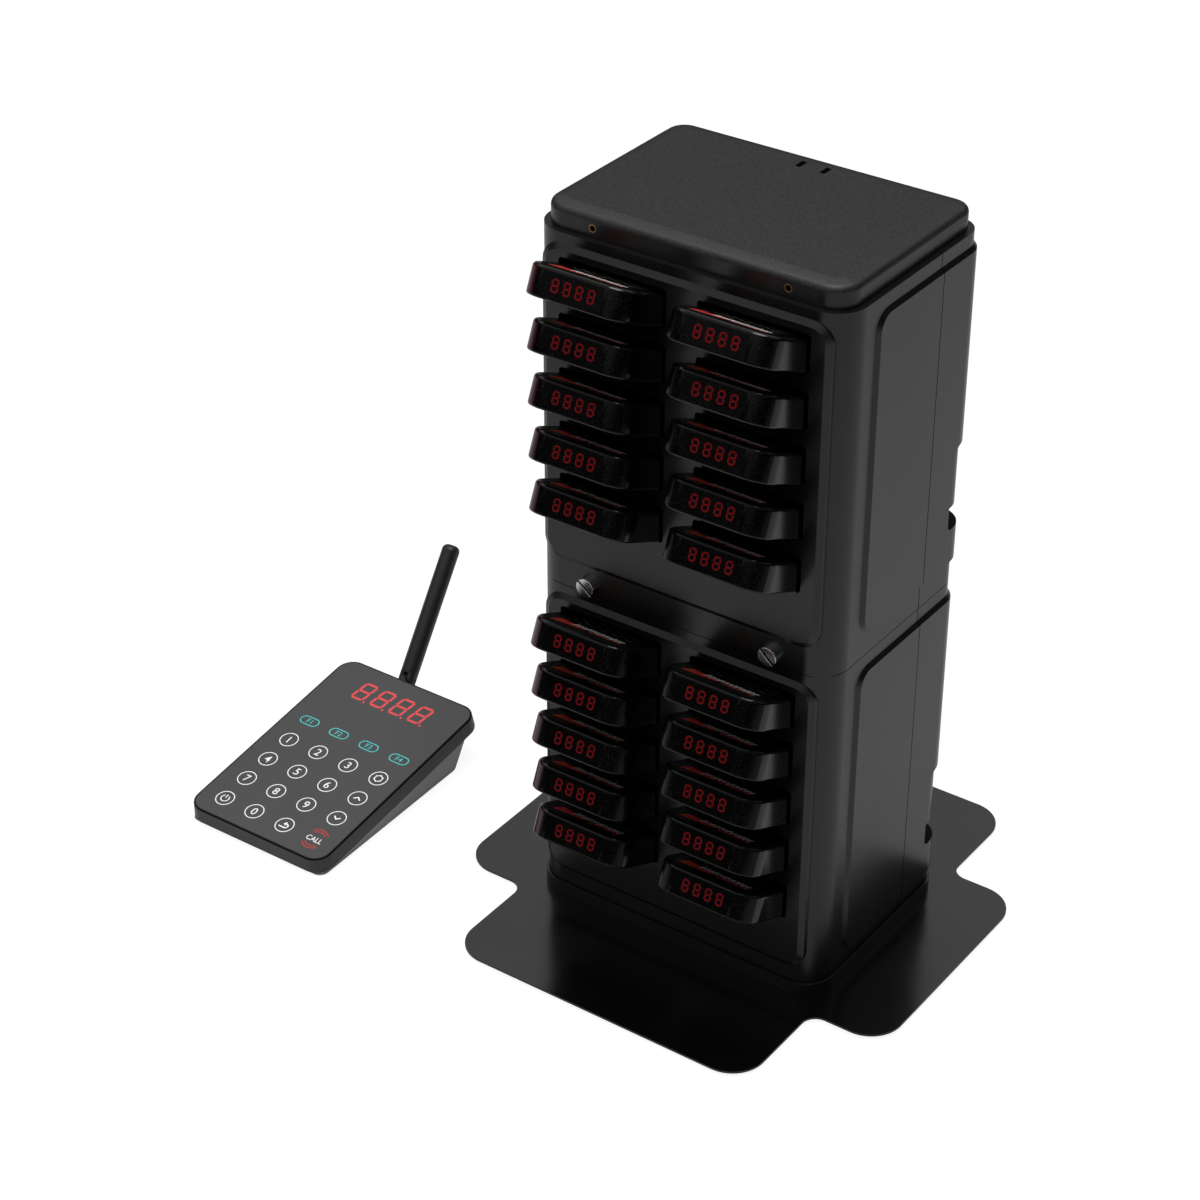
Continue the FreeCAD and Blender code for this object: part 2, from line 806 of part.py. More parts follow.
def make_antenna_whip():
    """The whip, drawn upright over its pivot and then leaned back."""
    shaft = rod(whip_radius, whip_length - whip_start, vec(0, 0, whip_start), Z)
    rim = max(shaft.Edges, key=lambda edge: edge.BoundBox.ZMin)
    whip = fused([shaft.makeFillet(whip_tip_radius, [rim]), make_whip_foot()])
    leaned = placed(whip, ORIGIN, X, -antenna_lean - keypad_tilt)
    return keypad_frame(placed(leaned, antenna_pivot()))


def build():
    os.makedirs("parts", exist_ok=True)
    save("base_pad", make_base_pad())
    save("base_plate", make_base_plate())
    save("base_collar", make_base_collar())
    shell = module_outer().cut(module_cavity())
    front, rear = make_front_housing(shell), make_rear_cover(shell)
    for name, base in zip(("lower", "upper"), module_base):
        save(name + "_front_housing", placed(front, vec(0, 0, base)))
        save(name + "_rear_cover", placed(rear, vec(0, 0, base)))
    save("charging_boards", Part.makeCompound([make_charging_board(base) for base in module_base]))
    save("power_jacks", Part.makeCompound([make_power_jack(base) for base in module_base]))
    save("link_screws", make_link_screws(module_base[1]))
    save("threaded_inserts", make_inserts())
    save("status_lights", make_status_lights())
    save("base_screws", make_base_screws())
    for number, (case, pane) in enumerate(make_pagers(), 1):
        save("pager_%02d_case" % number, case)
        save("pager_%02d_window" % number, pane)
    save("transmitter_upper_case", make_keypad_upper())
    save("transmitter_lower_case", make_keypad_lower())
    save("transmitter_touch_panel", make_touch_panel())
    save("transmitter_board", make_keypad_board())
    save("transmitter_feet", make_keypad_feet())
    save("antenna_base", make_antenna_base())
    save("antenna_whip", make_antenna_whip())


build()
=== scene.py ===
import bmesh
import bpy
from math import asin, atan2, cos, hypot, pi, radians, sin
from mathutils import Matrix, Vector


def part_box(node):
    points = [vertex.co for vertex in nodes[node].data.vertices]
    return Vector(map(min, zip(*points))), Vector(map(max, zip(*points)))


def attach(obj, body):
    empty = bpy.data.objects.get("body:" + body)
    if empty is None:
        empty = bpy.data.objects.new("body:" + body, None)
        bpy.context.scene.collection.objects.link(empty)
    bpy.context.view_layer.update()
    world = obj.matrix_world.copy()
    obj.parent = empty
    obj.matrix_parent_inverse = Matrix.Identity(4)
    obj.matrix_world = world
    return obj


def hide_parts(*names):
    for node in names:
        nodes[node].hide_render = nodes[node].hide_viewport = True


# The guest pager system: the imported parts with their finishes. The pagers, their digits and labels,
# the link screws and the keypad's print are made here. Lengths in the dictionaries are millimetres.

mm = 0.001
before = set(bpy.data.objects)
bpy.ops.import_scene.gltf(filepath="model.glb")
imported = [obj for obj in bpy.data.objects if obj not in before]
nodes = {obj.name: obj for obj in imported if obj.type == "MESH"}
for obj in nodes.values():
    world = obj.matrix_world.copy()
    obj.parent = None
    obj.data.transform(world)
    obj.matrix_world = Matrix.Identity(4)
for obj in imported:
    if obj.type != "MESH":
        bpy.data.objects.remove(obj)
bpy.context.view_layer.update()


# Shader maths

class Signal:
    def __init__(self, tree, socket):
        self.tree = tree
        self.socket = socket

    def math(self, operation, first, second):
        return self.tree.add("ShaderNodeMath", {"operation": operation}, {0: first, 1: second})["Value"]

    def __add__(self, other):
        return self.math("ADD", self, other)

    def __radd__(self, other):
        return self.math("ADD", other, self)

    def __sub__(self, other):
        return self.math("SUBTRACT", self, other)

    def __rsub__(self, other):
        return self.math("SUBTRACT", other, self)

    def __mul__(self, other):
        return self.math("MULTIPLY", self, other)

    def __rmul__(self, other):
        return self.math("MULTIPLY", other, self)


class ShaderTree:
    def __init__(self, tree):
        self.links = tree.links
        self.nodes = tree.nodes

    def feed(self, socket, value):
        if isinstance(value, Signal):
            self.links.new(value.socket, socket)
        elif isinstance(value, (tuple, list)) and socket.type == "RGBA":
            socket.default_value = (*value[:3], 1.0)
        else:
            socket.default_value = value

    def add(self, kind, settings=None, values=None):
        # One node: its settings first, then a value or a link for each named socket
        node = self.nodes.new(kind)
        for name, value in (settings or {}).items():
            if name == "stops":
                ramp = node.color_ramp.elements
                while len(ramp) < len(value):
                    ramp.new(0.5)
                for stop, (position, grey) in zip(ramp, value):
                    stop.position = position
                    stop.color = (grey, grey, grey, 1.0)
            else:
                setattr(node, name, value)
        for name, value in (values or {}).items():
            self.feed(node.inputs[name], value)
        return {out.name: Signal(self, out) for out in node.outputs if out.enabled}


class Finish(ShaderTree):
    def __init__(self, name):
        self.material = bpy.data.materials.new(name)
        self.material.use_nodes = True
        super().__init__(self.material.node_tree)
        self.surface = self.nodes["Principled BSDF"]
        self.place = self.add("ShaderNodeTexCoord")["Object"]

    def set(self, **sockets):
        for name, value in sockets.items():
            self.feed(self.surface.inputs[name.replace("_", " ")], value)
        return self

    def noise(self, scale, detail=2.0, rough=0.5):
        values = {"Vector": self.place, "Scale": scale, "Detail": detail, "Roughness": rough}
        return self.add("ShaderNodeTexNoise", None, values)["Fac"]

    def spread(self, signal, low=0.0, high=1.0, start=0.3, end=0.7):
        values = {"Value": signal, "From Min": start, "From Max": end, "To Min": low, "To Max": high}
        return self.add("ShaderNodeMapRange", {"clamp": True}, values)["Result"]

    def blend(self, factor, first, second):
        values = {"Factor": factor, "A": first, "B": second}
        return self.add("ShaderNodeMix", {"data_type": "RGBA"}, values)["Result"]

    def bump(self, height, strength, distance):
        values = {"Height": height, "Strength": strength, "Distance": distance}
        return self.add("ShaderNodeBump", None, values)["Normal"]


# Noise scales, tones and depths that every finish of a kind shares
texture = {
    "cloud": 14.0, "fleckCloud": 30.0, "fleckSwing": 0.03, "fleckDepth": 0.00001, "wear": 260.0,
    "wornTone": 0.7, "wornLow": 0.04, "wornHigh": 0.05, "brushDepth": 0.0000015, "brushStrength": 0.4,
    "ink": 900.0, "inkTone": 0.82, "inkRough": 0.42,
}


def mouldedFinish(name, colour, shade, rough, swing, grainScale, grainDepth, shine=0.5):
    # Moulded plastic: fine spark-eroded grain, a slow change of tone and of gloss
    finish = Finish(name)
    cloud = finish.noise(texture["cloud"], 3.0)
    grain = finish.noise(grainScale, 2.0, 0.6)
    finish.set(Base_Color=finish.blend(finish.spread(cloud), colour, shade))
    finish.set(Roughness=finish.spread(cloud, rough - swing, rough + swing))
    return finish.set(Normal=finish.bump(grain, 1.0, grainDepth), Specular_IOR_Level=shine).material


def speckledFinish(name, colour, fleck, rough, shine, scale, sparse=0.3):
    # Black plastic with fine flecks, as the grained and the smoked faces have
    finish = Finish(name)
    flecks = finish.spread(finish.noise(scale, 1.0, 0.7), start=sparse)
    cloud = finish.noise(texture["fleckCloud"], 2.0)
    finish.set(Base_Color=finish.blend(flecks, colour, fleck))
    finish.set(Roughness=finish.spread(cloud, rough - texture["fleckSwing"], rough + texture["fleckSwing"]))
    finish.set(Normal=finish.bump(flecks, 1.0, texture["fleckDepth"]), Specular_IOR_Level=shine)
    return finish.material


def metalFinish(name, colour, rough, brushed):
    # Bare metal with fine brushing and a little wear
    finish = Finish(name)
    wear = finish.noise(texture["wear"], 4.0)
    fine = finish.noise(brushed, 2.0)
    darker = tuple(value * texture["wornTone"] for value in colour)
    finish.set(Base_Color=finish.blend(finish.spread(wear), colour, darker), Metallic=1.0)
    finish.set(Roughness=finish.spread(wear, rough - texture["wornLow"], rough + texture["wornHigh"]))
    return finish.set(Normal=finish.bump(fine, texture["brushStrength"], texture["brushDepth"])).material


def printFinish(name, colour, glow=0.0, shine=0.5):
    # Screen-printed ink or a lit segment, with a little unevenness; a glow on printed ink is painted light
    finish = Finish(name)
    darker = tuple(value * texture["inkTone"] for value in colour)
    ink = finish.blend(finish.spread(finish.noise(texture["ink"], 2.0)), colour, darker)
    finish.set(Base_Color=ink, Roughness=texture["inkRough"], Specular_IOR_Level=shine)
    if glow:
        finish.set(Emission_Color=ink, Emission_Strength=glow)
    return finish.material


# Colour, its second tone, roughness, its swing, grain scale, grain depth, specular level
moulded = {
    "shell": ((0.0068, 0.0068, 0.0071), (0.0048, 0.0048, 0.0051), 0.29, 0.02, 2600.0, 0.00001),
    # seam: near-black, painted shade for the grooves, the lid's slits and the screw slots
    "seam": ((0.0006, 0.0006, 0.0006), (0.0004, 0.0004, 0.0004), 0.7, 0.02, 900.0, 0.000001, 0.05),
    # trench: darker than the shell, painted shade inside the cable trenches
    "trench": ((0.002, 0.002, 0.002), (0.0014, 0.0014, 0.0014), 0.6, 0.04, 1800.0, 0.000005, 0.12),
    "plate": ((0.0022, 0.0022, 0.0024), (0.0016, 0.0016, 0.0018), 0.2, 0.03, 1800.0, 0.000005, 0.64),
    "rubber": ((0.008, 0.008, 0.008), (0.005, 0.005, 0.005), 0.7, 0.05, 1500.0, 0.00003),
    "pagerCase": ((0.0022, 0.0022, 0.0024), (0.0015, 0.0015, 0.0016), 0.17, 0.03, 900.0, 0.000004),
    # pagerTop: a darker, dull copy of the case plastic for the pagers' tops, painted shade
    "pagerTop": ((0.002, 0.002, 0.002), (0.0012, 0.0012, 0.0012), 0.25, 0.03, 900.0, 0.000002, 0.14),
    # flashCorner: dark red base on the left pagers' left corners, a painted red reflection
    "flashCorner": ((0.05, 0.002, 0.006), (0.035, 0.0015, 0.004), 0.2, 0.03, 900.0, 0.000002),
    "slabEdge": ((0.0012, 0.0012, 0.0012), (0.0008, 0.0008, 0.0008), 0.3, 0.03, 900.0, 0.000001, 0.12),
    "slab": ((0.038, 0.038, 0.039), (0.031, 0.031, 0.032), 0.42, 0.03, 2400.0, 0.00001),
    "wedge": ((0.34, 0.34, 0.342), (0.3, 0.3, 0.302), 0.48, 0.03, 2400.0, 0.00001),
    "touchPanel": ((0.085, 0.085, 0.086), (0.076, 0.076, 0.077), 0.5, 0.03, 3000.0, 0.00001),
    "antenna": ((0.018, 0.018, 0.0182), (0.013, 0.013, 0.0132), 0.4, 0.04, 2000.0, 0.00001),
    "board": ((0.01, 0.09, 0.035), (0.008, 0.07, 0.03), 0.35, 0.05, 700.0, 0.00001),
    "socket": ((0.004, 0.004, 0.004), (0.003, 0.003, 0.003), 0.45, 0.04, 900.0, 0.00001),
    "lightPipe": ((0.001, 0.001, 0.001), (0.0007, 0.0007, 0.0007), 0.8, 0.03, 700.0, 0.00001, 0.01),
    "label": ((0.002, 0.002, 0.002), (0.0012, 0.0012, 0.0012), 0.25, 0.04, 900.0, 0.000002, 0.2),
}
# Colour, the flecks' colour, roughness, specular level, fleck scale, where the flecks begin
speckled = {
    "lid": ((0.003, 0.003, 0.0032), (0.02, 0.02, 0.0203), 0.5, 0.5, 900.0),
    # lidBorder: the lid's finish made paler, a painted highlight on the lid's front slope
    "lidBorder": ((0.015, 0.015, 0.0152), (0.032, 0.032, 0.0322), 0.5, 0.5, 900.0),
    "pagerFace": ((0.0006, 0.0005, 0.0005), (0.014, 0.012, 0.012), 0.2, 0.16, 1500.0, 0.54),
    "window": ((0.0006, 0.0005, 0.0005), (0.01, 0.009, 0.009), 0.2, 0.16, 1500.0, 0.56),
}
# Colour, roughness, brushing scale
metals = {
    "steel": ((0.95, 0.94, 0.93), 0.2, 1900.0),
    "brass": ((0.5, 0.33, 0.12), 0.32, 1500.0),
}
# Colour, glow, specular level; the displays' segments are lit, the glow on printed ink is painted light
prints = {
    # The keypad's white, teal and red print glow though they are ink: painted light
    "whitePrint": ((0.9, 0.9, 0.9), 0.45),
    "labelWhite": ((0.95, 0.95, 0.93),),
    # labelRed glows a little though it is a printed label: painted light
    "labelRed": ((0.62, 0.04, 0.025), 0.03),
    "labelDim": ((0.3, 0.2, 0.19),),
    "tealPrint": ((0.08, 0.6, 0.6), 0.35),
    "redPrint": ((0.5, 0.05, 0.05), 0.2),
    "displayRed": ((0.68, 0.08, 0.085), 0.5, 0.1),
    "pagerRed": ((0.11, 0.005, 0.006), 0.45, 0.03),
}
finishes = {}
for table, finishKind in ((moulded, mouldedFinish), (speckled, speckledFinish),
                          (metals, metalFinish), (prints, printFinish)):
    for name, values in table.items():
        finishes[name] = finishKind(name, *values)
print("finishes:", len(finishes))


# Shape helpers

def dress(piece, body, finish):
    for name in finish if isinstance(finish, tuple) else (finish,):
        piece.data.materials.append(finishes[name])
    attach(piece, body)
    return piece


def newPiece(name, shape, place=None):
    if place is not None:
        bmesh.ops.transform(shape, matrix=place, verts=shape.verts)
    mesh = bpy.data.meshes.new(name)
    shape.to_mesh(mesh)
    shape.free()
    piece = bpy.data.objects.new(name, mesh)
    bpy.context.scene.collection.objects.link(piece)
    return piece


def smoothed(piece, angle=32):
    packedNormals = piece.data.attributes.get("custom_normal")
    if packedNormals:
        piece.data.attributes.remove(packedNormals)
    piece.data.shade_smooth()
    piece.data.set_sharp_from_angle(angle=radians(angle))
    evener = piece.modifiers.new("evenShading", "WEIGHTED_NORMAL")
    evener.keep_sharp = True
    return piece


def sharpEdges(shape, angle):
    limit = radians(angle)
    return [edge for edge in shape.edges if len(edge.link_faces) == 2 and edge.calc_face_angle(0.0) > limit]


def rounded(shape, edges, size, segments, clamp=True, material=-1):
    # Rounds or chamfers the given edges; size in millimetres
    return bmesh.ops.bevel(shape, geom=edges, offset=size * mm, segments=segments, affect="EDGES",
                           profile=0.5, material=material, clamp_overlap=clamp)["faces"]


def turned(angle, axis):
    return Matrix.Rotation(radians(angle), 4, axis)


def moved(x, y, z=0.0):
    return Matrix.Translation((x * mm, y * mm, z * mm))


def refined(node, edge, body, finish, segments=2, angle=28, shaping=None, crease=32):
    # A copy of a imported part, welded, without its flat faces' triangles, and with its edges eased
    weld, flat = 2e-6, radians(0.6)
    shape = bmesh.new()
    shape.from_mesh(nodes[node].data)
    bmesh.ops.remove_doubles(shape, verts=shape.verts, dist=weld)
    bmesh.ops.dissolve_limit(shape, angle_limit=flat, verts=shape.verts, edges=shape.edges)
    kept = shaping(shape) if shaping else set()
    if edge:
        eased = [item for item in sharpEdges(shape, angle) if not kept.intersection(item.link_faces)]
        rounded(shape, eased, edge, segments)
    piece = newPiece(node + "_shape", shape)
    dress(piece, body, finish)
    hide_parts(node)
    return smoothed(piece, crease)


def thicken(shape, height):
    raised = bmesh.ops.extrude_face_region(shape, geom=shape.faces[:])
    lifted = [item for item in raised["geom"] if isinstance(item, bmesh.types.BMVert)]
    bmesh.ops.translate(shape, vec=(0, 0, height * mm), verts=lifted)
    bmesh.ops.recalc_face_normals(shape, faces=shape.faces)


def plateShape(corners, low, high, segments=8):
    # A flat plate through (x, y, radius) corners: a face with its corners rounded, then its thickness
    shape = bmesh.new()
    points = [shape.verts.new((x * mm, y * mm, low * mm)) for x, y, radius in corners]
    shape.faces.new(points)
    for size in sorted({radius for x, y, radius in corners if radius}):
        group = [point for point, corner in zip(points, corners) if corner[2] == size and point.is_valid]
        bmesh.ops.bevel(shape, geom=group, offset=size * mm, segments=segments, affect="VERTICES",
                        profile=0.5, material=-1, clamp_overlap=True)
    thicken(shape, high - low)
    return shape


def rim(shape, height):
    level, near = height * mm, 0.01 * mm
    return [edge for edge in shape.edges if all(abs(v.co.z - level) < near for v in edge.verts)]


def joinInto(shape, other, material=0):
    # Adds one shape to another, its faces taking the given finish of the piece, or keeping theirs
    if material is not None:
        for face in other.faces:
            face.material_index = material
    spare = bpy.data.meshes.new("spare")
    other.to_mesh(spare)
    other.free()
    shape.from_mesh(spare)
    bpy.data.meshes.remove(spare)


# Tower: the shells' grooves and edges, with a grained finish on the lid's top

tower = {
    "joint": 193.4, "halves": 19.7, "groove": 0.2, "slit": 0.35, "slitX": 12.0, "slitY": 40.0,
    "lidDrop": 1.3, "lidRound": 2.6, "lidSlope": 2.2, "outerX": 83.0, "frontY": -61.0, "rearY": 57.8,
    "trenches": ((37.5, 48.5), (226.9, 237.9)), "trenchY": 40.0, "near": 0.03, "apart": 0.2, "crease": 20,
    "level": 0.9, "flat": 0.999, "facingOut": 0.6, "lidFront": -0.05, "trenchWall": 0.3,
}
shellFinishes = ("shell", "lid", "lidBorder", "seam", "trench")


def onOuterSkin(edge):
    middle = (edge.verts[0].co + edge.verts[1].co) / 2 / mm
    if abs(middle.x) < tower["outerX"] and tower["frontY"] < middle.y < tower["rearY"]:
        return False
    outward = Vector((middle.x, middle.y, 0)).normalized()
    return any(face.normal.dot(outward) > tower["facingOut"] for face in edge.link_faces)


def shapeShell(shape):
    # Open grooves at the joint and between the halves, wider slits and a rounded outer edge on the lid; the
    # grooves and slits are coloured near-black, painted shade
    near = tower["near"]
    top = max(v.co.z for v in shape.verts) / mm - tower["lidDrop"]
    grooves, crown, slits = [], [], []
    for edge in sharpEdges(shape, 28):
        (x0, y0, z0), (x1, y1, z1) = [v.co / mm for v in edge.verts]
        atJoint = max(abs(z0 - tower["joint"]), abs(z1 - tower["joint"])) < near
        atHalves = max(abs(y0 - tower["halves"]), abs(y1 - tower["halves"])) < tower["apart"]
        onSlope = any(tower["level"] < face.normal.z < tower["flat"] for face in edge.link_faces)
        if (atJoint or atHalves) and onOuterSkin(edge):
            grooves.append(edge)
        elif max(abs(z0 - top), abs(z1 - top)) < near and onSlope:
            crown.append(edge)
        elif min(z0, z1) > top and max(abs(x0), abs(x1)) < tower["slitX"] and min(y0, y1) > tower["slitY"]:
            slits.append(edge)
    rounded(shape, slits, tower["slit"], 1, False, shellFinishes.index("seam"))
    cut = rounded(shape, grooves, tower["groove"], 1, False)
    eased = rounded(shape, crown, tower["lidRound"], 5, False)
    for faces, finish in ((cut, "seam"), (eased, "lid")):
        for face in faces:
            face.material_index = shellFinishes.index(finish)
    print("grooves:", len(grooves), "lid edge:", len(crown), "slit edges:", len(slits))
    return set(cut) | set(eased)


def markShell(piece, node):
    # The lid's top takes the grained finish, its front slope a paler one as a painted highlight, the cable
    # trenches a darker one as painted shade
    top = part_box(node)[1].z / mm - tower["lidSlope"]
    for face in piece.data.polygons:
        y, z = face.center.y / mm, face.center.z / mm
        inTrench = any(low - tower["apart"] < z < high + tower["apart"] for low, high in tower["trenches"])
        if face.normal.z > tower["level"] and z > top:
            # Forward-facing faces on the lid's top get the paler finish: a painted highlight
            finish = "lidBorder" if face.normal.y < tower["lidFront"] else "lid"
            face.material_index = shellFinishes.index(finish)
        # The trenches' inner faces get the darker finish: painted shade in the recess
        elif inTrench and y > tower["trenchY"] and abs(face.normal.z) > tower["trenchWall"]:
            face.material_index = shellFinishes.index("trench")


for level in ("lower", "upper"):
    for half in ("_front_housing", "_rear_cover"):
        shell = refined(level + half, 0, "tower", shellFinishes, shaping=shapeShell,
                        crease=tower["crease"])
        markShell(shell, level + half)
    print("housing and cover:", level)

refined("base_plate", 0.22, "tower", "plate")
refined("base_collar", 0.3, "tower", "shell")
refined("base_pad", 0.2, "tower", "rubber")
refined("threaded_inserts", 0.12, "tower", "brass")
refined("status_lights", 0.2, "tower", "lightPipe")
refined("power_jacks", 0.2, "tower", "socket")

# Link screws: polished heads, each with its coin slot as it stands in the photo

linkScrew = {
    "radius": 5.1, "seat": 4.5, "height": 3.5, "slot": 1.1, "slotDepth": 1.2, "edge": 0.3,
    "floorThick": 0.05, "overlap": 0.1, "shankRadius": 1.45, "shankLength": 7.0, "shankSink": 3.4,
    "angles": (-38.0, -43.0),
}


def rod(radius, length, middle, sides):
    shape = bmesh.new()
    bmesh.ops.create_cone(shape, cap_ends=True, segments=sides, radius1=radius * mm, radius2=radius * mm,
                          depth=length * mm)
    bmesh.ops.translate(shape, vec=(0, 0, middle * mm), verts=shape.verts)
    return shape


def screwShape(angle):
    # Head down on its back face at z 0: a disc, two raised halves with the slot between them, the shank
    radius, height, half = linkScrew["radius"], linkScrew["height"], linkScrew["slot"] / 2
    floor = height - linkScrew["slotDepth"]
    low = floor - linkScrew["overlap"]
    screw = rod(radius, floor, floor / 2, 72)
    first = asin(half / radius)
    arc = [first + (pi - 2 * first) * step / 36 for step in range(37)]
    for side in (1, -1):
        points = [(side * radius * cos(turn), side * radius * sin(turn), 0) for turn in arc]
        raised = plateShape(points, low, height)
        rounded(raised, rim(raised, height), linkScrew["edge"], 3, False)
        joinInto(screw, raised)
    length = radius * cos(first)
    slot = [(-length, -half, 0), (length, -half, 0), (length, half, 0), (-length, half, 0)]
    # The slot's floor takes the near-black finish: painted shade in the slot
    joinInto(screw, plateShape(slot, low, floor + linkScrew["floorThick"]), 1)
    joinInto(screw, rod(linkScrew["shankRadius"], linkScrew["shankLength"], -linkScrew["shankSink"], 24))
    bmesh.ops.transform(screw, matrix=turned(angle, "Z"), verts=screw.verts)
    return screw


screwLow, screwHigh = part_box("link_screws")
screwPair = bmesh.new()
for side, angle in zip((-1, 1), linkScrew["angles"]):
    screw = screwShape(angle)
    spot = Vector((side * (screwHigh.x - linkScrew["seat"] * mm), screwLow.y + linkScrew["height"] * mm,
                   (screwLow.z + screwHigh.z) / 2))
    bmesh.ops.transform(screw, matrix=Matrix.Translation(spot) @ turned(90, "X"), verts=screw.verts)
    joinInto(screwPair, screw, None)
screws = newPiece("link_screw_pair", screwPair)
dress(screws, "tower", ("steel", "seam"))
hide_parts("link_screws")
smoothed(screws, 40)

# Parts that stay as they are packed, because they stand inside the others

inner = {"charging_boards": "board", "base_screws": "steel", "transmitter_board": "board"}
for node, finish in inner.items():
    nodes[node].data.materials.clear()
    nodes[node].data.materials.append(finishes[finish])
print("tower:", len(inner), "inner parts left as packed")


# Pagers: case, window, digits and label, made once and placed twenty times

pager = {
    "width": 57.6, "thickness": 15.0, "length": 76.5, "reach": 34.5, "frontRadius": 12.0, "rearCut": 3.0,
    "topEdge": 1.8, "lowEdge": 1.2, "tilt": 24.5, "faceY": -63.6,
    "windowDrop": 0.06, "windowRim": 0.02, "windowStep": 0.03, "windowGap": 0.04, "windowThick": 0.5,
    "windowSink": 0.495, "redReflectionFrom": 0.75,
    "digitHeight": 6.5, "digitWidth": 4.0, "digitPitch": 6.6, "stroke": 0.9, "segmentGap": 0.2,
    "digitShift": 0.9, "digitThick": 0.05, "digitProud": 0.015,
    "labelFront": 7.0, "labelWidth": 47.0, "labelDepth": 32.0, "labelRound": 3.0, "labelThick": 0.12,
}


def pagerPlace(node):
    # A pager's own frame, from the middle of its packed case
    low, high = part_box(node)
    tilt = radians(pager["tilt"])
    half = pager["reach"] * mm
    centre = (low + high) / 2
    origin = Vector((centre.x, pager["faceY"] * mm, 0.0))
    thick = pager["thickness"] * mm / 2
    origin.z = high.z - (half - pager["topEdge"] * mm) * sin(tilt) - thick * cos(tilt)
    return Matrix.Translation(origin) @ turned(-pager["tilt"], "X")


def pagerCase():
    half, front, back = pager["width"] / 2, -pager["reach"], pager["length"] - pager["reach"]
    cut, radius, thick = pager["rearCut"], pager["frontRadius"], pager["thickness"] / 2
    corners = [(-half, front, radius), (half, front, radius), (half, back - cut, 0), (half - cut, back, 0),
               (-half + cut, back, 0), (-half, back - cut, 0)]
    shape = plateShape(corners, -thick, thick, 10)
    rounded(shape, rim(shape, thick), pager["topEdge"], 4, False)
    rounded(shape, rim(shape, -thick), pager["lowEdge"], 3, False)
    shape.faces.ensure_lookup_table()
    face = min(shape.faces, key=lambda f: f.calc_center_median().y)
    bmesh.ops.inset_region(shape, faces=[face], thickness=pager["windowRim"] * mm)
    bmesh.ops.inset_region(shape, faces=[face], thickness=pager["windowStep"] * mm,
                           depth=-pager["windowDrop"] * mm)
    corner = (-half + radius * pager["redReflectionFrom"]) * mm
    # Finishes by the way that a face looks: the top (painted shade), the left corner (a painted red
    # reflection), the front
    for side in shape.faces:
        middle = side.calc_center_median()
        if side.normal.z > 0.97:
            side.material_index = 2
        elif side.normal.x < -0.25 and middle.x < corner and middle.y < 0:
            side.material_index = 3
        elif side.normal.y < -0.5 and abs(side.normal.z) < 0.3:
            side.material_index = 1
    return shape


def onFace(y):
    # Stands a flat shape up in the plane of the pager's face
    return moved(0, y) @ turned(90, "X")


def windowShape():
    thick = pager["thickness"] / 2
    gap = pager["windowRim"] + pager["windowGap"]
    wide = pager["width"] / 2 - pager["frontRadius"] - gap
    high, low = thick - pager["topEdge"] - gap, -thick + pager["lowEdge"] + gap
    corners = [(-wide, low, 0), (wide, low, 0), (wide, high, 0), (-wide, high, 0)]
    shape = plateShape(corners, 0, pager["windowThick"])
    bmesh.ops.transform(shape, matrix=onFace(pager["windowSink"] - pager["reach"]), verts=shape.verts)
    return shape


def segmentBar(length, stroke, thick):
    # One lit bar with pointed ends, lying along x
    half, tip = length / 2, stroke / 2
    low = [(-half + tip, -tip, 0), (half - tip, -tip, 0)]
    high = [(half - tip, tip, 0), (-half + tip, tip, 0)]
    return plateShape([(-half, 0, 0), *low, (half, 0, 0), *high], 0, thick)


def eight(width, height, stroke, gap, thick, lean=0.0):
    # All seven bars of a digit, centred, in the xy plane
    digit = bmesh.new()
    across, up = width - stroke, (height - stroke) / 2
    level = [(0, y, across, 0) for y in (0, up, -up)]
    upright = [(x * across / 2, y * up / 2, up, 90) for x in (1, -1) for y in (1, -1)]
    for x, y, length, turn in level + upright:
        bar = segmentBar(length - gap, stroke, thick)
        bmesh.ops.transform(bar, matrix=moved(x, y) @ turned(turn, "Z"), verts=bar.verts)
        joinInto(digit, bar)
    slant = Matrix.Identity(4)
    slant[0][1] = lean
    bmesh.ops.transform(digit, matrix=slant, verts=digit.verts)
    return digit


def pagerDigits():
    row = bmesh.new()
    for place in (-1.5, -0.5, 0.5, 1.5):
        digit = eight(pager["digitWidth"], pager["digitHeight"], pager["stroke"], pager["segmentGap"],
                      pager["digitThick"])
        across = place * pager["digitPitch"] + pager["digitShift"]
        bmesh.ops.translate(digit, vec=(across * mm, 0, 0), verts=digit.verts)
        joinInto(row, digit)
    bmesh.ops.transform(row, matrix=onFace(-pager["reach"] - pager["digitProud"]), verts=row.verts)
    return row


def flatBar(x, y, length, width, thick, lean):
    # A thin printed bar; lean slants its ends
    half, side = length / 2, width / 2
    near = [(-half - lean, -side, 0), (half - lean, -side, 0)]
    far = [(half + lean, side, 0), (-half + lean, side, 0)]
    bar = plateShape(near + far, 0, thick)
    bmesh.ops.translate(bar, vec=(x * mm, y * mm, 0), verts=bar.verts)
    return bar


# Red wedge, white slashes and red dashes run from left to right; the flecks are strewn behind them
labelArt = {
    "wedge": {"count": 9, "x": -18.5, "pitch": 2.0, "y": 4.6, "fall": 0.2, "width": 1.7, "thin": 0.06,
              "depth": 7.4, "shrink": 0.55, "thick": 0.15, "lean": 1.2},
    "slashes": {"count": 12, "x": -9.0, "pitch": 2.5, "y": 6.6, "fall": 0.12, "width": 1.25, "depth": 4.6,
                "uneven": 0.7, "thick": 0.16, "lean": 0.9},
    "dashes": {"count": 7, "x": 3.0, "pitch": 2.6, "y": 1.6, "lift": 0.5, "width": 1.7, "depth": 1.3,
               "thick": 0.15, "lean": 0.5},
    "flecks": {"count": 44, "x": -17.0, "pitch": 7.9, "span": 37.0, "y": 11.5, "rise": 5.3, "reach": 17.0,
               "width": 0.5, "depth": 1.1, "thick": 0.13, "lean": 0.2},
}


